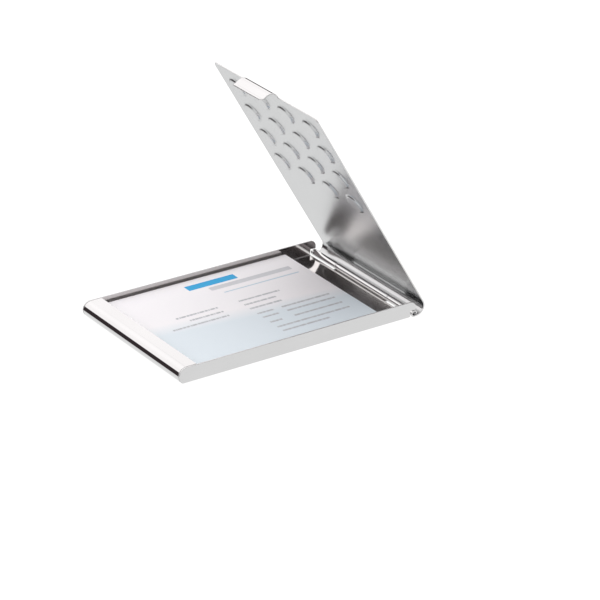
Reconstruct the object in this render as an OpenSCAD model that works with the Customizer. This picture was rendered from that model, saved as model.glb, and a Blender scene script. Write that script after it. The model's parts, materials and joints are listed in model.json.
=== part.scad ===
// Business card case: a folded sheet metal tray and a pressed sheet metal lid on a
// rolled knuckle hinge, with a stack of cards inside.
//
// X runs along the case from the rolled front (-) to the hinge (+), Y across it, Z up.
// The origin is the middle of the tray's underside. The lid is drawn open.

/* [Case] */
// Length of the closed case, from the rolled front to the heel of the lid
case_length = 102; // [98:0.5:110]
// Width of the case over the side walls
case_width = 60; // [58:0.5:66]
// Height of the side walls
wall_height = 6.1; // [6:0.1:7]
// Thickness of the sheet metal
sheet = 0.5; // [0.4:0.05:0.5]
// Width of the lip over the cards, from the front of the roll
lip_width = 7.4; // [5:0.1:8]
// Gap between the roll's ends and the side walls
seam = 0.1; // [0.05:0.05:0.2]

/* [Lid] */
// Angle that the lid is drawn open at
open_angle = 57.5; // [0:0.5:62]
// Distance from the front of the roll back to the lid's front edge
lid_setback = 3.4; // [3.2:0.1:4.5]
// Radius of the lid's front corners
corner_radius = 2; // [1:0.1:3]
// Clearance between the closed lid and the tray
play = 0.1; // [0.05:0.01:0.15]

/* [Dimples] */
// Dimples along each side of the grid
dimple_count = 4; // [2:1:4]
// Distance from the front of the roll to the middle of the first row
first_row = 12.2; // [12:0.1:14]
// Spacing of the dimples along the case
row_pitch = 12.8; // [9:0.1:14]
// Spacing of the dimples across the case
column_pitch = 14.2; // [9:0.1:14.5]
// Diameter of a dimple at its rim
dimple_diameter = 8.8; // [6:0.1:8.8]
// Depth of a dimple
dimple_depth = 0.65; // [0.3:0.05:0.7]

/* [Latch] */
// Width of the latch tongue
latch_width = 16.5; // [12:0.5:20]
// Height of the crease where the thumb lip begins
crease_height = 1.7; // [1.4:0.1:2.5]
// Length of the thumb lip
thumb_lip = 1.4; // [1:0.1:1.6]
// Angle of the thumb lip out from the front
thumb_angle = 38; // [20:1:50]

/* [Hinge] */
// Diameter of the rolled knuckles
knuckle_diameter = 2.5; // [2.3:0.05:2.6]
// Distance from the heel of the lid forward to the hinge axis
hinge_inset = 2.05; // [2:0.05:2.4]
// Length of the tray's knuckle, in the middle of the hinge
middle_knuckle = 30.5; // [24:0.5:36]
// Gap between neighbouring knuckles
knuckle_gap = 0.15; // [0.1:0.05:0.3]
// Radial clearance of the pin in the knuckles
pin_clearance = 0.05; // [0.02:0.01:0.08]
// Radius of the bend at the lid's heel
heel_radius = 3.3; // [3.2:0.05:3.4]

/* [Cards] */
// Length of a card
card_length = 85; // [80:0.5:85]
// Width of a card
card_width = 55; // [50:0.5:56]
// Thickness of a card
card_thickness = 0.3; // [0.25:0.01:0.32]
// Distance that the cards lie off centre, towards the far wall
card_offset = 0.9; // [0:0.1:1]

/* [Hidden] */
$fn = 96;
card_count = 12;

over = 0.2;         // how far a cutting solid runs past what it cuts
far_past = 2 * case_length;     // length of a cutting solid that passes right through
card_gap = 0.02;    // air under the stack and under the top card

front_x = -case_length / 2;
heel_x = case_length / 2;
inside_width = case_width - 2 * sheet;

// Rolled front of the tray
roll_radius = wall_height / 2;
roll_x = front_x + roll_radius;

// Hinge
knuckle_radius = knuckle_diameter / 2;
bore_radius = knuckle_radius - sheet;
pin_radius = bore_radius - pin_clearance;
hinge_x = heel_x - hinge_inset;
hinge_z = knuckle_radius;
end_knuckle = (case_width - middle_knuckle) / 2 - knuckle_gap;
notch_depth = 0.55;     // from the knuckles forward to the edge of the notch
notch_headroom = 0.25;  // from the knuckles up to the edge of the notch
notch_x = hinge_x - knuckle_radius - notch_depth;
notch_z = knuckle_diameter + notch_headroom;
tab_root = 1;           // length of the tray's knuckle tab that is fused into the floor
pin_recess = 0.8;       // from the sides of the case in to the ends of the pin
tray_curl_end = 205;    // angle at which the tray's knuckle stops short of the floor
lid_curl_end = -305;    // angle at which the lid's knuckles stop short of the heel

// Side walls
wall_beyond_hinge = 0.55;
wall_rear = hinge_x + wall_beyond_hinge;
wall_rounding = 2.6;
fold_radius = 0.8;

// Lid, described closed
lid_under = wall_height + play;
lid_top = lid_under + sheet;
lid_front = front_x + lid_setback;
bend_x = heel_x - heel_radius;
bend_z = lid_top - heel_radius;
bend_distance = norm([bend_x - hinge_x, bend_z - hinge_z]);
bend_bearing = atan2(bend_z - hinge_z, bend_x - hinge_x);
// Direction, from either centre, of the point where heel and knuckle share a tangent
tangent_angle = bend_bearing - acos((knuckle_radius - heel_radius) / bend_distance);
tangent_length = sqrt(bend_distance ^ 2 - (heel_radius - knuckle_radius) ^ 2);
web_skim = 0.01;        // how far the faces of the straight lie below those of the two bends
web_overlap = 0.1;      // how far the straight runs into each bend

// Dimples: floor and rim are joined by two equal arcs
dimple_rim = dimple_diameter / 2;
dimple_run = 1.2;       // from the rim in to the flat floor
dimple_floor = dimple_rim - dimple_run;
dimple_slope = 2 * atan(dimple_depth / dimple_run);
dimple_arc = dimple_run / 2 / sin(dimple_slope);

// Latch tongue, concentric with the roll
tongue_inner = roll_radius + play;
tongue_outer = tongue_inner + sheet;
tongue_corner = 1.2;

// ---- Outlines shared by several parts, drawn with X across and Z up the page

// Extrudes an outline in X and Z to a width in Y, from y_low to y_high
module across(y_low, y_high) {
    translate([0, y_high, 0])
        rotate([90, 0, 0])
            linear_extrude(height = y_high - y_low)
                children();
}

// Wedge with its point at the origin, from one angle anticlockwise to another
module wedge(from_angle, to_angle, reach) {
    widest_step = 45;
    steps = ceil((to_angle - from_angle) / widest_step);
    step = (to_angle - from_angle) / steps;
    polygon(concat(
        [[0, 0]],
        [for (i = [0 : steps]) reach * [cos(from_angle + i * step), sin(from_angle + i * step)]]
    ));
}

// Piece of a ring, from one angle anticlockwise to another
module bent_sheet(outer, inner, from_angle, to_angle) {
    intersection() {
        difference() {
            circle(r = outer);
            circle(r = inner);
        }
        wedge(from_angle, to_angle, 2 * outer);
    }
}

// Box given by its lowest and highest corners
module box_between(low, high) {
    translate(low)
        cube(high - low);
}

// ---- Tray

// Outline of a side wall: round front, rounded rear corner, notch for the lid's knuckle
module wall_outline() {
    rounding_x = wall_rear - wall_rounding;
    difference() {
        union() {
            translate([roll_x, roll_radius])
                circle(r = roll_radius);
            translate([roll_x, 0])
                square([rounding_x - roll_x, wall_height]);
            translate([rounding_x, 0])
                square([wall_rounding, wall_height - wall_rounding]);
            translate([rounding_x, wall_height - wall_rounding])
                circle(r = wall_rounding);
        }
        translate([notch_x, -over])
            square([far_past, notch_z + over]);
    }
}

// Floor and side walls as one folded channel, trimmed to the wall outline
module folded_channel() {
    half = case_width / 2;
    intersection() {
        across(-half, half)
            wall_outline();
        difference() {
            channel_block(half, fold_radius, 0);
            channel_block(half - sheet, fold_radius - sheet, sheet);
        }
    }
}

// Long block with rounded lower edges, its underside at a height
module channel_block(half, rounding, height) {
    rotate([90, 0, 90])
        linear_extrude(height = far_past, center = true) {
            for (side = [-1, 1])
                translate([side * (half - rounding), height + rounding])
                    circle(r = rounding);
            translate([-half + rounding, height])
                square([2 * (half - rounding), rounding]);
            translate([-half, height + rounding])
                square([2 * half, wall_height]);
        }
}

// Front roll and the lip that it ends in
module front_roll() {
    half = inside_width / 2 - seam;
    across(-half, half) {
        translate([roll_x, roll_radius])
            bent_sheet(roll_radius, roll_radius - sheet, 90, 270);
        translate([roll_x, wall_height - sheet])
            square([lip_width - roll_radius, sheet]);
    }
}

// Tab of the floor that runs back and curls up round the pin
module middle_curl() {
    across(-middle_knuckle / 2, middle_knuckle / 2) {
        translate([notch_x - tab_root, 0])
            square([hinge_x - notch_x + tab_root, sheet]);
        translate([hinge_x, hinge_z])
            bent_sheet(knuckle_radius, bore_radius, -90, tray_curl_end);
    }
}

module tray() {
    color("silver")
        union() {
            folded_channel();
            front_roll();
            middle_curl();
        }
}

// ---- Lid, drawn closed and then swung open

module swing_open() {
    translate([hinge_x, 0, hinge_z])
        rotate([0, open_angle, 0])
            translate([-hinge_x, 0, -hinge_z])
                children();
}

// Flat plate with rounded front corners
module plate() {
    half = case_width / 2;
    translate([0, 0, lid_under])
        linear_extrude(height = sheet) {
            for (side = [-1, 1])
                translate([lid_front + corner_radius, side * (half - corner_radius)])
                    circle(r = corner_radius);
            translate([lid_front, -half + corner_radius])
                square([corner_radius, case_width - 2 * corner_radius]);
            translate([lid_front + corner_radius, -half])
                square([bend_x - lid_front - corner_radius, case_width]);
        }
}

// Heel of the lid, from the plate round to where the knuckles begin
module heel_outline() {
    translate([bend_x, bend_z])
        bent_sheet(heel_radius, heel_radius - sheet, tangent_angle, 90);
}

// Straight stretch and rolled eye that turn the heel into a knuckle
module knuckle_outline() {
    translate([hinge_x, hinge_z]) {
        rotate(tangent_angle)
            translate([bore_radius + web_skim, -web_overlap])
                square([sheet - 2 * web_skim, tangent_length + 2 * web_overlap]);
        bent_sheet(knuckle_radius, bore_radius, lid_curl_end, tangent_angle);
    }
}

// Heel across the whole lid, cut away in the middle for the tray's knuckle
module heel() {
    half = case_width / 2;
    clear = middle_knuckle / 2 + knuckle_gap;
    difference() {
        across(-half, half)
            heel_outline();
        box_between([bend_x, -clear, -over], [heel_x + over, clear, notch_z]);
    }
    for (side = [-1, 1]) {
        centre = side * (half - end_knuckle / 2);
        across(centre - end_knuckle / 2, centre + end_knuckle / 2)
            knuckle_outline();
    }
}

// Latch: a tongue that follows the roll round to the front and ends in a thumb lip
module latch_outline() {
    crease = [roll_x - tongue_outer, crease_height];
    lip = thumb_lip * [-sin(thumb_angle), -cos(thumb_angle)];
    square_to_lip = sheet * [cos(thumb_angle), -sin(thumb_angle)];
    translate([roll_x, lid_under])
        square([lid_front - roll_x + corner_radius, sheet]);
    translate([roll_x, roll_radius])
        bent_sheet(tongue_outer, tongue_inner, 90, 180);
    translate(crease)
        square([sheet, roll_radius - crease_height]);
    polygon([
        crease, crease + lip, crease + lip + square_to_lip, crease + square_to_lip, crease + [sheet, 0]
    ]);
}

// Front view of the latch, which rounds the thumb lip's corners
module latch_front() {
    half = latch_width / 2;
    rotate([90, 0, 90])
        linear_extrude(height = far_past, center = true) {
            for (side = [-1, 1])
                translate([side * (half - tongue_corner), tongue_corner])
                    circle(r = tongue_corner);
            translate([-half + tongue_corner, 0])
                square([2 * (half - tongue_corner), case_width]);
            translate([-half, tongue_corner])
                square([latch_width, case_width]);
        }
}

module latch() {
    thumb_lip_bottom = crease_height - thumb_lip * cos(thumb_angle) - sheet * sin(thumb_angle);
    intersection() {
        across(-latch_width / 2, latch_width / 2)
            latch_outline();
        translate([0, 0, thumb_lip_bottom])
            latch_front();
    }
}

// Dish of one dimple, its rim at z = 0, with floor and rim arcs that meet half way down
module dish() {
    middle = dimple_rim - dimple_run / 2;
    rotate_extrude() {
        translate([0, -dimple_depth])
            square([dimple_floor, dimple_depth]);
        intersection() {
            translate([dimple_floor, dimple_arc - dimple_depth])
                circle(r = dimple_arc);
            translate([dimple_floor, -dimple_depth])
                square([dimple_run / 2, dimple_depth]);
        }
        difference() {
            translate([middle, -dimple_depth / 2])
                square([dimple_run / 2, dimple_depth / 2]);
            translate([dimple_rim, -dimple_arc])
                circle(r = dimple_arc);
        }
    }
}

// Places a child at the middle of every dimple, at a height
module at_dimples(height) {
    for (row = [0 : dimple_count - 1], column = [0 : dimple_count - 1])
        translate([
            front_x + first_row + row * row_pitch,
            (column - (dimple_count - 1) / 2) * column_pitch,
            height
        ])
            children();
}

module lid() {
    color("gainsboro")
        swing_open()
            difference() {
                union() {
                    plate();
                    heel();
                    latch();
                    at_dimples(lid_under)
                        dish();
                }
                at_dimples(lid_top)
                    dish();
            }
}

// ---- Hinge pin

module hinge_pin() {
    color("dimgray")
        translate([hinge_x, 0, hinge_z])
            rotate([90, 0, 0])
                cylinder(h = case_width - 2 * pin_recess, r = pin_radius, center = true);
}

// ---- Cards, counted from the top

// Height of a card's underside above the floor of the tray
function card_height(number) =
    card_gap + (card_count - number) * card_thickness + (number == 1 ? card_gap : 0);

// How far forward a card reaches: to the inside of the roll, at its lower edge or its upper one
function card_front(low) =
    let (
        drop = max(abs(low - roll_radius), abs(low + card_thickness - roll_radius)),
        inner = roll_radius - sheet
    )
    roll_x - sqrt(inner * inner - drop * drop) + play;

module card(number) {
    low = sheet + card_height(number);
    color("white")
        translate([card_front(low), card_offset - card_width / 2, low])
            cube([card_length, card_width, card_thickness]);
}

tray();
lid();
hinge_pin();
card(1);  // top_card
for (number = [2 : card_count])
    card(number);
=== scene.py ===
"""Looks of the business card case: polished sheet metal round a stack of printed cards.

Shapes are worked out in millimetres in the tray's frame, with the lid closed: X along the case
from the rolled front to the hinge, Y across it, Z up. They become metres when a mesh is made.
"""

import json
import math

import bmesh
import bpy
from mathutils import Matrix, Vector

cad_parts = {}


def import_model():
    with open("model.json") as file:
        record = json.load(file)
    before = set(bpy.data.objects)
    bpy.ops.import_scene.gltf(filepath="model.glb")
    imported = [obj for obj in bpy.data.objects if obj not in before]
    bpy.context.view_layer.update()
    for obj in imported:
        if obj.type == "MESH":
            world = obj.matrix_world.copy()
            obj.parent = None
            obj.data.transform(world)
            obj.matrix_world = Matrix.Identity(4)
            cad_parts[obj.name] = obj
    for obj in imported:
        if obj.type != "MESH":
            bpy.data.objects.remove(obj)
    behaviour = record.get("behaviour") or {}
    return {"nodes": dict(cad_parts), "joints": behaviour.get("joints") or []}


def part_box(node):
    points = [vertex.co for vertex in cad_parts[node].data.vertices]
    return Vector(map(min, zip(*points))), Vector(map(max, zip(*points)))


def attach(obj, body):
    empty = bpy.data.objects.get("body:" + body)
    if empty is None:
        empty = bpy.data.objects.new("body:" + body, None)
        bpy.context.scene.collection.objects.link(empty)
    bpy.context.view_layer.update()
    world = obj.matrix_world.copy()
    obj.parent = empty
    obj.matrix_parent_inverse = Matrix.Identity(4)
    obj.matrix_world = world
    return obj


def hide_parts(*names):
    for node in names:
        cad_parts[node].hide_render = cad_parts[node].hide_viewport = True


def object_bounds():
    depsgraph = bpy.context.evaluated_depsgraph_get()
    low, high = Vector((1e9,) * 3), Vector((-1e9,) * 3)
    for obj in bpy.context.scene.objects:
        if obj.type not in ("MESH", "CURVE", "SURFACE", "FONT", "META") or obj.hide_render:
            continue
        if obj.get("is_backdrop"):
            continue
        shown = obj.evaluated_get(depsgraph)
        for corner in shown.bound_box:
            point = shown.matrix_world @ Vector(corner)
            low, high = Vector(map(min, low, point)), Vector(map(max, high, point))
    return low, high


MM = 0.001

# ---- Sizes, in millimetres

LENGTH = 102.0
WIDTH = 60.0
WALL = 6.1
SHEET = 0.5
PLAY = 0.1
SEAM = 0.1
LIP = 7.4

FRONT = -LENGTH / 2
HALF = WIDTH / 2
ROLL_RADIUS = WALL / 2
ROLL_X = FRONT + ROLL_RADIUS
FOLD_RADIUS = 0.8

KNUCKLE_RADIUS = 1.25
HINGE_X = LENGTH / 2 - 2.05
HINGE_Z = KNUCKLE_RADIUS
MIDDLE_KNUCKLE = 30.5
KNUCKLE_GAP = 0.15
TRAY_CURL_END = 205
LID_CURL_END = -305

NOTCH_X = HINGE_X - KNUCKLE_RADIUS - 0.55
NOTCH_Z = 2 * KNUCKLE_RADIUS + 0.25
WALL_REAR = HINGE_X + 0.55
WALL_ROUNDING = 2.6

LID_TOP = WALL + PLAY + SHEET
LID_FRONT = FRONT + 3.4
CORNER_RADIUS = 2.0
HEEL_RADIUS = 3.3
HEEL_X = LENGTH / 2 - HEEL_RADIUS
HEEL_Z = LID_TOP - HEEL_RADIUS

LATCH_WIDTH = 16.5
CREASE_HEIGHT = 1.7
CREASE_RADIUS = 0.5
THUMB_LIP = 1.4
THUMB_ANGLE = 38
THUMB_CORNER = 1.2

DIMPLE_COUNT = 4
DIMPLE_FIRST = FRONT + 12.2
DIMPLE_PITCH = (12.8, 14.2)
DIMPLE_RIM = 4.4
DIMPLE_FLOOR = DIMPLE_RIM - 1.2
DIMPLE_DEPTH = 0.65

PIN_CHAMFER = 0.2
PIN_SIDES = 32
CARD_CORNER = 0.4


# ---- Mesh spacing, in millimetres, and the angle of one facet, in degrees

SAME_PLACE = 0.001      # corners nearer than this are one corner
EDGE_ROUNDING = 0.05    # of the sheet's cut edges
PIN_ROUNDING = 0.03
CARD_ROUNDING = 0.02
FINE_STEP = 0.32        # over the dimples and across the lid
FLAT_STEP = 3           # along flat stretches
THUMB_STEP = 0.3
TONGUE_STEP = 0.4
WEB_STEP = 0.5
TAB_STEP = 0.6
WALL_STEP = 0.25
CLOSE_STEP = 0.3        # in front of the notch, over this much of the floor:
CLOSE_REACH = 0.65
STRIP_STEP = 2
CARD_STEP = 9
CARD_CORNER_STEP = 0.14
FACET = 6               # of small bends
WIDE_FACET = 4          # of the rolls and the heel, which are seen large
FOLD_FACET = 15


# ---- Print on the top card, in millimetres: left, right, middle and height of each bar

NAME_BAR = (-12, 9, 23, 3.6)
TITLE_BAR = (-5, 30, 18.6, 2.6)
RULE_BAR = (-2, 30.5, 14, 0.6)
PERSON_RIGHT = -11
PERSON_TOP = 5.2
PERSON_WIDTHS = (17.5, 14, 23.5)
PLACE_LEFT = -1.8
PLACE_LINES = [
    (5.4, [(0, 17.5)]), (2.0, [(0, 13.5)]), (-1.5, [(0, 13.5)]),
    (-6.0, [(0, 7), (10.4, 31)]), (-9.3, [(0, 7), (10.4, 31)]), (-13.7, [(0, 5), (10.4, 31)]),
    (-18.0, [(0, 31)]), (-21.3, [(0, 20)]),
]
LINE_HEIGHT = 1.0
LINE_PITCH = 3.5
NAME_BLUE = (0.0, 0.36, 0.70, 1.0)
TITLE_GREY = (0.60, 0.61, 0.64, 1.0)
RULE_BLUE = (0.50, 0.62, 0.72, 1.0)
LINE_GREY = (0.46, 0.47, 0.50, 1.0)
PANEL_BLUE = (0.71, 0.785, 0.835, 1.0)
PANEL_TOP = 0.0005
PANEL_FADE = 0.008
PANEL_LEAN = 0.10


# ---- How often each noise of the materials repeats per metre along X, Y and Z

METAL_CLOUDS = (60, 60, 60)
SCRATCHES_ALONG = (40, 5200, 5200)
SCRATCHES_ACROSS = (3600, 90, 3600)
SCRATCH_SIZE = 0.00001      # in metres, at full depth
PAPER_MOTTLE = (900, 900, 900)
PAPER_SHEEN = (400, 400, 400)
PAPER_FIBRES = (3000, 3000, 3000)
FIBRE_SIZE = 0.00002        # in metres, at full depth
WORD_BREAKS = (1300, 0, 0)


# ---- Floor, and the surround that the metal mirrors with the heights at which it changes

FLOOR_GLOW = 0.92
HORIZON = (0.18, 0.24)
OVERHEAD = (0.50, 0.75)
CLOUD_SCALE = 7.0
UPPER_WHITE = (1.48, 1.44, 1.44, 1.0)
OVERHEAD_WHITE = (1.62, 1.58, 1.58, 1.0)
CLOUD_GREY = (0.86, 0.87, 0.88, 1.0)
DARK_BAND = (0.050, 0.038, 0.041, 1.0)
LOWER_WHITE = (1.06, 1.06, 1.06, 1.0)
PATCH_GREY = (0.48, 0.43, 0.44, 1.0)
PLAIN_WHITE = (1.0, 1.0, 1.0, 1.0)


# ---- Bent sheets

class Bend:
    """Outer face of a bent sheet seen from the side, drawn by moving and turning along it."""

    def __init__(self, start, heading):
        self.at = Vector(start)
        self.heading = math.radians(heading)
        self.stations = []
        self.length = 0.0
        self.mark(0.0)

    def outward(self):
        return Vector((-math.sin(self.heading), math.cos(self.heading)))

    def mark(self, moved):
        self.length += moved
        self.stations.append((self.length, self.at.copy(), self.outward()))

    def run(self, length, step=None):
        ahead = Vector((math.cos(self.heading), math.sin(self.heading)))
        steps = math.ceil(length / step) if step else 1
        for _ in range(steps):
            self.at += ahead * (length / steps)
            self.mark(length / steps)

    def turn(self, radius, degrees, step=FACET):
        """Turns right round a centre under the sheet, or left round one above it."""
        side = math.copysign(1, degrees)
        centre = self.at - self.outward() * radius * side
        steps = math.ceil(abs(degrees) / step)
        swing = math.radians(abs(degrees)) / steps
        for _ in range(steps):
            self.heading -= side * swing
            self.at = centre + self.outward() * radius * side
            self.mark(radius * swing)

    def lengths(self):
        return [s for s, _, _ in self.stations]

    def place(self, s):
        """Point and outward direction at a length along the sheet."""
        for (s0, p0, n0), (s1, p1, n1) in zip(self.stations, self.stations[1:]):
            if s <= s1 + 1e-9:
                share = (s - s0) / (s1 - s0)
                return p0.lerp(p1, share), n0.lerp(n1, share).normalized()
        return self.stations[-1][1:]


class SheetMetal:
    """Quads of a sheet, laid patch by patch and closed along the free edges at the end."""

    OUTER, INNER, CUT = range(3)

    def __init__(self):
        self.found = {}
        self.outer = []
        self.inner = []
        self.cells = []

    def corner(self, outer, inner):
        key = tuple(round(v / SAME_PLACE) for v in outer)
        if key not in self.found:
            self.found[key] = len(self.outer)
            self.outer.append(Vector(outer))
            self.inner.append(Vector(inner))
        return self.found[key]

    def lay(self, rows, columns, place, present=lambda row, column: True):
        """Lays cells between rows and columns where their middles are present."""
        made = {}

        def at(i, j):
            if (i, j) not in made:
                made[i, j] = self.corner(*place(rows[i], columns[j]))
            return made[i, j]

        for i, row in enumerate(rows[:-1]):
            for j, column in enumerate(columns[:-1]):
                if present((row + rows[i + 1]) / 2, (column + columns[j + 1]) / 2):
                    cell = [at(i, j), at(i + 1, j), at(i + 1, j + 1), at(i, j + 1)]
                    ring = [c for k, c in enumerate(cell) if c != cell[k - 1]]
                    if len(ring) > 2:
                        self.cells.append(ring)

    def faces(self):
        """Faces of both skins and of the cut edges, each with its material's number."""
        under = len(self.outer)
        uses = {}
        for cell in self.cells:
            for a, b in zip(cell, cell[1:] + cell[:1]):
                uses.setdefault(frozenset((a, b)), []).append((a, b))
        for cell in self.cells:
            yield cell, self.OUTER
            yield [under + c for c in reversed(cell)], self.INNER
        for directed in uses.values():
            if len(directed) == 1:
                a, b = directed[0]
                yield [b, a, under + a, under + b], self.CUT

    def piece(self, name, materials, turned=None, rounding=EDGE_ROUNDING):
        """Makes the sheet an object, turned into its place at rest."""
        bm = bmesh.new()
        points = self.outer + self.inner
        corners = {}
        for ring, material in self.faces():
            for c in ring:
                if c not in corners:
                    corners[c] = bm.verts.new(points[c] * MM)
            face = bm.faces.new([corners[c] for c in ring])
            face.material_index = material
            face.smooth = True
        bmesh.ops.recalc_face_normals(bm, faces=bm.faces)
        if turned:
            bmesh.ops.transform(bm, matrix=turned, verts=bm.verts)
        return finished(bm, name, materials, rounding)


def finished(bm, name, materials, rounding):
    """Object of a mesh, with its sharp edges rounded and its flat faces shaded flat."""
    mesh = bpy.data.meshes.new(name)
    bm.to_mesh(mesh)
    bm.free()
    for material in materials:
        mesh.materials.append(material)
    obj = bpy.data.objects.new(name, mesh)
    bpy.context.scene.collection.objects.link(obj)
    bevel = obj.modifiers.new("edges", "BEVEL")
    bevel.width = rounding * MM
    bevel.segments = 2
    bevel.limit_method = "ANGLE"
    bevel.angle_limit = math.radians(50)
    bevel.use_clamp_overlap = False
    shading = obj.modifiers.new("shading", "WEIGHTED_NORMAL")
    shading.keep_sharp = True
    return obj


def spaced(start, end, step):
    """Evenly spaced numbers from start up to but not including end."""
    count = max(1, math.ceil(abs(end - start) / step - 1e-6))
    return [start + (end - start) * k / count for k in range(count)]


def stops(*legs):
    """Numbers along legs of (start, end, step), each starting where the last one ends."""
    return [v for leg in legs for v in spaced(*leg)] + [legs[-1][1]]


def rounded(across, along):
    """Moves a point of the unit square so that the square's far corner becomes a quarter round."""
    if min(across, along) <= 0:
        return across, along
    return across * math.sqrt(1 - along**2 / 2), along * math.sqrt(1 - across**2 / 2)


# ---- Lid

def dimple_drop(x, y):
    """How far the lid dips at a point: a flat floor and two equal arcs up to the rim."""
    row = min(max(round((x - DIMPLE_FIRST) / DIMPLE_PITCH[0]), 0), DIMPLE_COUNT - 1)
    middle = (DIMPLE_COUNT - 1) / 2
    column = min(max(round(y / DIMPLE_PITCH[1] + middle), 0), DIMPLE_COUNT - 1)
    off = math.hypot(x - DIMPLE_FIRST - row * DIMPLE_PITCH[0], y - (column - middle) * DIMPLE_PITCH[1])
    run = DIMPLE_RIM - DIMPLE_FLOOR
    radius = run / 2 / math.sin(2 * math.atan(DIMPLE_DEPTH / run))
    out = min(max(off - DIMPLE_FLOOR, 0), run)
    nearer = min(out, run - out)
    bulge = radius - math.sqrt(radius**2 - nearer**2)
    return DIMPLE_DEPTH - bulge if out == nearer else bulge


def lid_profile():
    """The closed lid from the tip of the thumb lip to the end of the knuckle's curl.

    Also gives the length at which the tongue ends and the plate's full width begins.
    """
    to_bend = Vector((HEEL_X - HINGE_X, HEEL_Z - HINGE_Z))
    lean = math.degrees(math.acos((KNUCKLE_RADIUS - HEEL_RADIUS) / to_bend.length))
    tangent = math.degrees(math.atan2(to_bend.y, to_bend.x)) - lean
    web = math.sqrt(to_bend.length_squared - (HEEL_RADIUS - KNUCKLE_RADIUS) ** 2)
    tongue_radius = ROLL_RADIUS + PLAY + SHEET
    crease = Vector((ROLL_X - tongue_radius, CREASE_HEIGHT))
    slant = math.radians(THUMB_ANGLE)
    taken = CREASE_RADIUS * math.tan(slant / 2)
    tip = crease - THUMB_LIP * Vector((math.sin(slant), math.cos(slant)))

    bend = Bend(tip, 90 - THUMB_ANGLE)
    bend.run(THUMB_LIP - taken, THUMB_STEP)
    bend.turn(CREASE_RADIUS, -THUMB_ANGLE)
    bend.run(ROLL_RADIUS - CREASE_HEIGHT - taken, TONGUE_STEP)
    bend.turn(tongue_radius, 90, WIDE_FACET)
    bend.run(LID_FRONT - ROLL_X, TONGUE_STEP)
    front = bend.length
    dimples_end = DIMPLE_FIRST + (DIMPLE_COUNT - 1) * DIMPLE_PITCH[0] + DIMPLE_RIM + FINE_STEP
    bend.run(CORNER_RADIUS, FINE_STEP)
    bend.run(dimples_end - LID_FRONT - CORNER_RADIUS, FINE_STEP)
    bend.run(HEEL_X - dimples_end, FLAT_STEP)
    bend.turn(HEEL_RADIUS, 90 - tangent, WIDE_FACET)
    bend.run(web, WEB_STEP)
    bend.turn(KNUCKLE_RADIUS, tangent - LID_CURL_END)
    return bend, front


def lid_columns():
    """Y of the lines along the lid: its sides, its corners, the cut for the knuckle, the latch."""
    cut = MIDDLE_KNUCKLE / 2 + KNUCKLE_GAP
    latch = LATCH_WIDTH / 2
    edges = (0, latch - THUMB_CORNER, latch, cut, HALF - CORNER_RADIUS, HALF)
    right = stops(*((start, end, FINE_STEP) for start, end in zip(edges, edges[1:])))
    return [-y for y in reversed(right[1:])] + right


def lid(materials, opened):
    """The lid's sheet, cut away for the tray's knuckle and swung open by an angle."""
    bend, front = lid_profile()
    latch = LATCH_WIDTH / 2
    cut = MIDDLE_KNUCKLE / 2 + KNUCKLE_GAP
    cut_from = next(s for s, p, _ in bend.stations if s > front and p.y < NOTCH_Z)

    def with_corner(s, y, start, half, radius):
        along = 1 - (s - start) / radius
        across = 1 - (half - abs(y)) / radius
        if not (0 < along <= 1 and 0 < across <= 1):
            return s, y
        across, along = rounded(across, along)
        return start + radius * (1 - along), math.copysign(half - radius * (1 - across), y)

    def place(s, y):
        if s < front and abs(y) <= latch:
            s, y = with_corner(s, y, 0.0, latch, THUMB_CORNER)
        elif s >= front:
            s, y = with_corner(s, y, front, HALF, CORNER_RADIUS)
        point, outward = bend.place(s)
        under = point - SHEET * outward
        drop = dimple_drop(point.x, y) if s > front and point.y > LID_TOP - SAME_PLACE else 0
        return (point.x, y, point.y - drop), (under.x, y, under.y - drop)

    def present(s, y):
        if s < front:
            return abs(y) < latch
        return abs(y) > cut or s < cut_from

    sheet = SheetMetal()
    sheet.lay(bend.lengths(), lid_columns(), place, present)
    hinge = Vector((HINGE_X, 0, HINGE_Z)) * MM
    swing = Matrix.Translation(hinge) @ Matrix.Rotation(opened, 4, "Y") @ Matrix.Translation(-hinge)
    return sheet.piece("lid_sheet", materials, swing)


# ---- Tray

def floor_stops():
    """X of the lines across the floor, which the side walls share, from the notch forward."""
    close_end = NOTCH_X - CLOSE_REACH
    return stops((NOTCH_X, close_end, CLOSE_STEP), (close_end, ROLL_X, FLAT_STEP))


def lay_strip(sheet):
    """Floor, with the knuckle's curl behind it and the roll and lip in front."""
    curl = math.radians(TRAY_CURL_END)
    start = Vector((HINGE_X, HINGE_Z)) + KNUCKLE_RADIUS * Vector((math.cos(curl), math.sin(curl)))
    bend = Bend(start, TRAY_CURL_END - 90)
    bend.turn(KNUCKLE_RADIUS, TRAY_CURL_END + 90)
    bend.run(HINGE_X - NOTCH_X, TAB_STEP)
    tab_end = bend.length
    xs = floor_stops()
    for x, after in zip(xs, xs[1:]):
        bend.run(x - after)
    floor_end = bend.length
    bend.turn(ROLL_RADIUS, 180, WIDE_FACET)
    bend.run(FRONT + LIP - ROLL_X, WEB_STEP)

    tab = MIDDLE_KNUCKLE / 2
    flat = HALF - FOLD_RADIUS
    lip = HALF - SHEET - SEAM
    right = stops((0, tab, STRIP_STEP), (tab, flat, STRIP_STEP), (flat, lip, STRIP_STEP))
    columns = [-y for y in reversed(right[1:])] + right

    def place(s, y):
        point, outward = bend.place(s)
        under = point - SHEET * outward
        return (point.x, y, point.y), (under.x, y, under.y)

    def present(s, y):
        if s < tab_end:
            return abs(y) < tab
        return s > floor_end or abs(y) < flat

    sheet.lay(bend.lengths(), columns, place, present)


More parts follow.
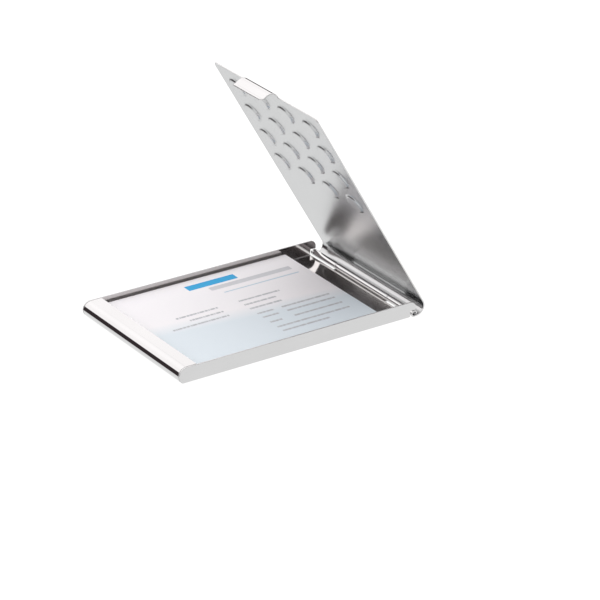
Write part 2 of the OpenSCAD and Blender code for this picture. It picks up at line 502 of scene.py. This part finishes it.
def lay_wall(sheet, side):
    """Fold and side wall, with a round front and a notch at the rear for the lid's knuckle."""
    bend = Bend((HALF - FOLD_RADIUS, 0), 0)
    bend.turn(FOLD_RADIUS, -90, FOLD_FACET)
    # Lines lie closer together towards the top, where the rear corner rounds over
    heights = stops(
        (FOLD_RADIUS, NOTCH_Z, WALL_STEP), (NOTCH_Z, WALL - WALL_ROUNDING, WALL_STEP),
        (WALL - WALL_ROUNDING, WALL - 1.0, 0.3), (WALL - 1.0, WALL - 0.3, 0.15),
        (WALL - 0.3, WALL, 0.06),
    )
    for low, high in zip(heights, heights[1:]):
        bend.run(high - low)

    floor = floor_stops()
    front_steps = 12
    rear_steps = 8
    following = 2           # lines ahead of the notch that follow the rounded rear corner
    behind = floor[following]
    # Rows run from -1 at the round front to 0 where the floor begins, on to the notch and the rear
    rows = [-1 + k / front_steps for k in range(front_steps)]
    rows += range(len(floor))
    notch_row = len(floor) - 1
    rows += [notch_row + (k + 1) / rear_steps for k in range(rear_steps)]
    xs = floor[::-1]

    def rear_end(z):
        up = max(z - (WALL - WALL_ROUNDING), 0)
        return WALL_REAR - WALL_ROUNDING + math.sqrt(max(WALL_ROUNDING**2 - up**2, 0))

    def along(row, z):
        if row <= 0:
            reach = math.sqrt(max(ROLL_RADIUS**2 - (ROLL_RADIUS - z) ** 2, 0))
            return ROLL_X - reach * math.sin(-row * math.pi / 2)
        shrink = (rear_end(z) - behind) / (WALL_REAR - behind)
        if row <= notch_row:
            x = xs[round(row)]
            return x if x <= behind else behind + (x - behind) * shrink
        notch = behind + (NOTCH_X - behind) * shrink
        return notch + (rear_end(z) - notch) * (row - notch_row)

    def place(row, s):
        point, outward = bend.place(s)
        under = point + SHEET * outward
        x = along(row, point.y)
        return (x, side * point.x, point.y), (x, side * under.x, under.y)

    def present(row, s):
        return row < notch_row or bend.place(s)[0].y > NOTCH_Z

    sheet.lay(rows, bend.lengths(), place, present)


def tray(materials):
    """The tray's sheet: one strip from the knuckle to the lip, and a wall along each side."""
    sheet = SheetMetal()
    lay_strip(sheet)
    for side in (-1, 1):
        lay_wall(sheet, side)
    return sheet.piece("tray_sheet", materials)


# ---- Pin and cards

def hinge_pin(material):
    """Plain pin with chamfered ends, turned about its own line."""
    low, high = (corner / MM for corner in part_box("hinge_pin"))
    radius = (high.z - low.z) / 2
    half = (high.y - low.y) / 2
    outline = [(0, -half), (radius - PIN_CHAMFER, -half), (radius, -half + PIN_CHAMFER)]
    outline += [(radius, half - PIN_CHAMFER), (radius - PIN_CHAMFER, half), (0, half)]
    bm = bmesh.new()
    rings = []
    for r, y in outline:
        angles = [2 * math.pi * k / PIN_SIDES for k in range(PIN_SIDES)] if r else [0]
        rings.append([
            bm.verts.new(Vector((HINGE_X + r * math.cos(a), y, HINGE_Z + r * math.sin(a))) * MM)
            for a in angles
        ])
    for ring, after in zip(rings, rings[1:]):
        for k in range(PIN_SIDES):
            quad = [ring[k % len(ring)], ring[(k + 1) % len(ring)]]
            quad += [after[(k + 1) % len(after)], after[k % len(after)]]
            face = bm.faces.new(list(dict.fromkeys(quad)))
            face.smooth = True
    bmesh.ops.recalc_face_normals(bm, faces=bm.faces)
    return finished(bm, "pin_steel", [material], PIN_ROUNDING)


def card(name, node, materials):
    """Thin card with faintly rounded corners, the size of its CAD solid."""
    low, high = (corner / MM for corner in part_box(node))
    size = high - low
    radius = CARD_CORNER

    def place(u, v):
        along, across = 1 - u / radius, 1 - v / radius
        x, y = u, v
        far_x, far_y = u > size.x / 2, v > size.y / 2
        if far_x:
            along = 1 - (size.x - u) / radius
        if far_y:
            across = 1 - (size.y - v) / radius
        if along > 0 and across > 0:
            along, across = rounded(along, across)
            x, y = radius * (1 - along), radius * (1 - across)
            x = size.x - x if far_x else x
            y = size.y - y if far_y else y
        return (low.x + x, low.y + y, high.z), (low.x + x, low.y + y, low.z)

    def lines(length):
        return stops(
            (0, radius, CARD_CORNER_STEP), (radius, length - radius, CARD_STEP),
            (length - radius, length, CARD_CORNER_STEP),
        )

    sheet = SheetMetal()
    sheet.lay(lines(size.x), lines(size.y), place)
    return sheet.piece(name, materials, rounding=CARD_ROUNDING)


# ---- Materials

class Shader:
    """Small helper that adds and joins the nodes of one material."""

    def __init__(self, name):
        self.material = bpy.data.materials.new(name)
        self.material.use_nodes = True
        self.tree = self.material.node_tree
        self.tree.nodes.clear()
        self.bsdf = self.add("ShaderNodeBsdfPrincipled")
        output = self.add("ShaderNodeOutputMaterial")
        self.tree.links.new(self.bsdf.outputs[0], output.inputs[0])
        self.place = self.add("ShaderNodeTexCoord").outputs["Object"]

    def add(self, kind, settings=None, **values):
        node = self.tree.nodes.new(kind)
        for key, value in (settings or {}).items():
            setattr(node, key, value)
        for key, value in values.items():
            self.put(node.inputs[key.replace("_", " ")], value)
        return node

    def put(self, socket, value):
        if isinstance(value, bpy.types.NodeSocket):
            self.tree.links.new(value, socket)
        else:
            socket.default_value = value

    def math(self, operation, a, b=0.0):
        node = self.add("ShaderNodeMath", {"operation": operation})
        self.put(node.inputs[0], a)
        self.put(node.inputs[1], b)
        return node.outputs[0]

    def scaled(self, by):
        """Object coordinates multiplied by a number for each axis."""
        node = self.add("ShaderNodeMapping", Vector=self.place, Scale=by)
        return node.outputs[0]

    def noise(self, by, detail=2.0, roughness=0.5):
        node = self.add("ShaderNodeTexNoise", Vector=self.scaled(by), Scale=1.0, Detail=detail)
        node.inputs["Roughness"].default_value = roughness
        return node.outputs["Fac"]

    def between(self, value, low, high, from_low=0.0, from_high=1.0):
        """Value mapped from one range to another, clamped."""
        node = self.add("ShaderNodeMapRange", Value=value)
        node.inputs["From Min"].default_value = from_low
        node.inputs["From Max"].default_value = from_high
        node.inputs["To Min"].default_value = low
        node.inputs["To Max"].default_value = high
        return node.outputs[0]

    def mix(self, share, a, b):
        node = self.add("ShaderNodeMix", {"data_type": "RGBA"})
        self.put(node.inputs["Factor"], share)
        self.put(node.inputs[6], a)
        self.put(node.inputs[7], b)
        return node.outputs[2]

    def axes(self, vector):
        """The three numbers of a vector."""
        split = self.add("ShaderNodeSeparateXYZ", Vector=vector)
        return split.outputs[:]

    def bump(self, height, strength, distance):
        node = self.add("ShaderNodeBump", Height=height, Strength=strength, Distance=distance)
        return node.outputs[0]


def grey(level, warmth=0.0):
    return (level * (1 + warmth), level, level * (1 - warmth / 2), 1.0)


def metal(name, dark, light, gloss, grain, warmth=0.0, haze=0.0):
    """Polished or satin steel: cloudy tone, fine scratches and a roughness that varies with both.

    dark and light bound the tone and gloss the roughness. grain is the depth of the scratches,
    warmth tints the tone, and haze is the share of the light that is scattered, not mirrored.
    """
    s = Shader(name)
    clouds = s.noise(METAL_CLOUDS, 3)
    along = s.noise(SCRATCHES_ALONG, 4, 0.7)
    across = s.noise(SCRATCHES_ACROSS, 4, 0.7)
    scratches = s.math("MULTIPLY", s.math("POWER", along, 2.0), s.math("POWER", across, 1.5))
    s.put(s.bsdf.inputs["Base Color"], s.mix(clouds, grey(dark, warmth), grey(light, warmth)))
    s.bsdf.inputs["Metallic"].default_value = 1.0 - haze
    smears = s.math("ADD", s.math("MULTIPLY", clouds, 0.6), s.math("MULTIPLY", scratches, 0.8))
    s.put(s.bsdf.inputs["Roughness"], s.between(smears, *gloss))
    s.put(s.bsdf.inputs["Normal"], s.bump(scratches, grain, SCRATCH_SIZE))
    return s.material


def paper(name, white, shade, printed=lambda s, ground: ground):
    """Coated card: faint mottling and fibres, under what is printed on it."""
    s = Shader(name)
    ground = s.mix(s.noise(PAPER_MOTTLE, 4), shade, white)
    s.put(s.bsdf.inputs["Base Color"], printed(s, ground))
    s.put(s.bsdf.inputs["Roughness"], s.between(s.noise(PAPER_SHEEN), 0.5, 0.65))
    s.put(s.bsdf.inputs["Normal"], s.bump(s.noise(PAPER_FIBRES, 3), 0.1, FIBRE_SIZE))
    return s.material


def card_print(s, ground):
    """Plain bars in place of a card's name, rules and lines of small print, on a tinted panel."""
    x, y, _ = s.axes(s.place)

    def bar(left, right, middle, height):
        """1 inside a bar given in millimetres, 0 outside it."""
        sides = s.math("COMPARE", x, (left + right) / 2 * MM)
        sides.node.inputs[2].default_value = (right - left) / 2 * MM
        ends = s.math("COMPARE", y, middle * MM)
        ends.node.inputs[2].default_value = height / 2 * MM
        return s.math("MULTIPLY", sides, ends)

    def all_of(bars):
        total = bars[0]
        for extra in bars[1:]:
            total = s.math("MAXIMUM", total, extra)
        return total

    lean = s.math("ADD", y, s.math("MULTIPLY", x, PANEL_LEAN))
    tinted = s.mix(s.between(lean, 1.0, 0.0, PANEL_TOP - PANEL_FADE, PANEL_TOP), ground, PANEL_BLUE)
    named = s.mix(bar(*NAME_BAR), tinted, NAME_BLUE)
    titled = s.mix(bar(*TITLE_BAR), named, TITLE_GREY)
    ruled = s.mix(bar(*RULE_BAR), titled, RULE_BLUE)
    lines = [
        bar(PERSON_RIGHT - width, PERSON_RIGHT, PERSON_TOP - k * LINE_PITCH, LINE_HEIGHT)
        for k, width in enumerate(PERSON_WIDTHS)
    ]
    lines += [
        bar(PLACE_LEFT + start, PLACE_LEFT + end, middle, LINE_HEIGHT)
        for middle, spans in PLACE_LINES for start, end in spans
    ]
    words = s.between(s.noise(WORD_BREAKS), 0.25, 1.0, 0.42, 0.5)
    return s.mix(s.math("MULTIPLY", all_of(lines), words), ruled, LINE_GREY)


# ---- Stage, light and camera

def floor_plane():
    """Plain pale floor that glows white and that polished metal doesn't mirror."""
    reach = 1.6
    bm = bmesh.new()
    corners = [bm.verts.new((reach * x, reach * y, 0)) for x, y in ((-1, -1), (1, -1), (1, 1), (-1, 1))]
    bm.faces.new(corners)
    mesh = bpy.data.meshes.new("floor")
    bm.to_mesh(mesh)
    bm.free()
    obj = bpy.data.objects.new("floor", mesh)
    bpy.context.scene.collection.objects.link(obj)
    s = Shader("floor")
    s.bsdf.inputs["Base Color"].default_value = grey(0.15)
    s.bsdf.inputs["Roughness"].default_value = 0.9
    s.bsdf.inputs["Emission Color"].default_value = PLAIN_WHITE
    s.bsdf.inputs["Emission Strength"].default_value = FLOOR_GLOW
    obj.visible_glossy = False
    mesh.materials.append(s.material)
    obj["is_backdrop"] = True


def studio():
    """White surround above and below a dark band at the horizon, with grey behind the camera.

    A direction's x, y and z run from -1 to 1: +Y is behind the case, +X right and +Z overhead.
    """
    world = bpy.data.worlds.new("studio")
    bpy.context.scene.world = world
    world.use_nodes = True
    tree = world.node_tree
    tree.nodes.clear()

    def add(kind, inputs, out=0, **settings):
        node = tree.nodes.new(kind)
        for key, value in settings.items():
            setattr(node, key, value)
        for key, value in inputs.items():
            if isinstance(value, bpy.types.NodeSocket):
                tree.links.new(value, node.inputs[key])
            else:
                node.inputs[key].default_value = value
        return node.outputs[out]

    def between(value, from_low, from_high, low=0.0, high=1.0):
        """Value mapped smoothly from one range to another, clamped."""
        keys = ("Value", "From Min", "From Max", "To Min", "To Max")
        inputs = dict(zip(keys, (value, from_low, from_high, low, high)))
        return add("ShaderNodeMapRange", inputs, interpolation_type="SMOOTHSTEP")

    def mix(share, a, b):
        return add("ShaderNodeMix", {"Factor": share, 6: a, 7: b}, out=2, data_type="RGBA")

    def times(a, b):
        return add("ShaderNodeMath", {0: a, 1: b}, operation="MULTIPLY")

    place = tree.nodes.new("ShaderNodeTexCoord").outputs["Generated"]
    split = tree.nodes.new("ShaderNodeSeparateXYZ")
    tree.links.new(place, split.inputs[0])
    x, y, z = split.outputs[:]

    # Behind the case the dark band reaches further down below the horizon than up above it
    drop = between(y, -0.30, 0.30, -0.05, -0.40)
    band_bottom = times(drop, between(x, 0.35, 0.60, 1.0, 0.2))
    under_band = add("ShaderNodeMath", {0: band_bottom, 1: z}, operation="SUBTRACT")
    # Grey clouds overhead, except straight behind the case
    noise = add("ShaderNodeTexNoise", {"Vector": place, "Scale": CLOUD_SCALE, "Detail": 1.0})
    clouds = between(noise, 0.46, 0.62)
    straight = times(between(x, 0.38, 0.46, 1.0, 0.0), between(y, 0.60, 0.66))
    aside = between(straight, 0.0, 1.0, 1.0, 0.0)
    cloudy = times(times(clouds, between(z, 0.46, 0.52)), aside)
    # A grey patch low behind the camera
    behind = between(y, -0.45, -0.15, 1.0, 0.0)
    low = between(z, 0.55, 0.70, 1.0, 0.0)
    patch = times(times(behind, low), between(z, 0.05, 0.10))

    colour = mix(between(z, *HORIZON), DARK_BAND, UPPER_WHITE)
    colour = mix(between(z, *OVERHEAD), colour, OVERHEAD_WHITE)
    colour = mix(cloudy, colour, CLOUD_GREY)
    colour = mix(between(under_band, -0.02, 0.02), colour, LOWER_WHITE)
    colour = mix(patch, colour, PATCH_GREY)
    # The camera itself sees plain white past the floor
    seen = tree.nodes.new("ShaderNodeLightPath").outputs["Is Camera Ray"]
    background = add("ShaderNodeBackground", {"Color": mix(seen, colour, PLAIN_WHITE)})
    output = tree.nodes.new("ShaderNodeOutputWorld")
    tree.links.new(background, output.inputs[0])


def camera():
    """Camera in front of the case and above it, turned so that the case lies left of the middle."""
    azimuth, elevation, roll = (math.radians(a) for a in (-36.2, 26.2, 2.2))
    distance = 1.090
    lens = 186.8
    target = Vector((-0.001, 0, 0.003))
    aim_right, aim_up = 3.03, 0.576     # from the case to the middle of the frame, on the sensor
    target_at = Vector((-aim_right, -aim_up, -lens))

    back = Vector((
        math.sin(azimuth) * math.cos(elevation),
        -math.cos(azimuth) * math.cos(elevation),
        math.sin(elevation),
    ))
    level = Vector((0, 0, 1)).cross(back).normalized()
    over = back.cross(level)
    right = math.cos(roll) * level + math.sin(roll) * over
    up = back.cross(right)
    facing = Matrix((right, up, back)).transposed()
    aim = target_at.rotation_difference(Vector((0, 0, -1))).to_matrix()

    data = bpy.data.cameras.new("camera")
    data.sensor_width = 36.0
    data.lens = lens
    data.clip_start, data.clip_end = 0.01, 20.0
    obj = bpy.data.objects.new("camera", data)
    obj.matrix_world = Matrix.Translation(target + distance * back) @ (facing @ aim).to_4x4()
    bpy.context.scene.collection.objects.link(obj)
    bpy.context.scene.camera = obj


def main():
    """Replaces each CAD node with a detailed piece, and sets the stage round them."""
    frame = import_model()
    cad_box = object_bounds()
    hinge = next(j for j in frame["joints"] if j["name"] == "lid_hinge")
    opened = math.radians(-hinge["range_deg"][0])

    polished = metal("polished_steel", 0.60, 0.64, (0.03, 0.08), 0.05)
    # The tray's inner faces are a little rougher than the outside. Their darker, warmer tone is painted
    # shade for the inside of the tray.
    inside = metal("tray_inside_shaded_steel", 0.55, 0.59, (0.06, 0.12), 0.08, warmth=0.03)
    satin = metal("satin_steel", 0.51, 0.55, (0.20, 0.27), 0.2, warmth=-0.01)
    cut_edge = metal("cut_edge", 0.62, 0.68, (0.32, 0.45), 0.3, haze=0.35)
    pin_steel = metal("pin_steel", 0.42, 0.50, (0.15, 0.28), 0.2)
    white = (0.90, 0.89, 0.91, 1.0)
    shade = (0.87, 0.86, 0.88, 1.0)
    plain = paper("plain_card", white, shade)
    printed = paper("printed_card", white, shade, card_print)

    lid_sheet = lid([polished, satin, cut_edge], opened)
    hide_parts("lid")
    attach(lid_sheet, "lid")

    tray_sheet = tray([polished, inside, cut_edge])
    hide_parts("tray")
    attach(tray_sheet, "tray")

    pin = hinge_pin(pin_steel)
    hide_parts("hinge_pin")
    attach(pin, "tray")

    for node in sorted(frame["nodes"]):
        if "card" in node:
            body = "top_card" if node == "top_card" else "card_stack"
            face = printed if node == "top_card" else plain
            obj = card(node + "_paper", node, [face, plain, plain])
            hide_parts(node)
            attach(obj, body)

    floor_plane()
    studio()
    camera()
    bpy.context.scene.view_settings.view_transform = "Standard"

    corners = {"cad": cad_box, "visual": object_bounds()}
    {name: [list(c) for c in box] for name, box in corners.items()}


main()
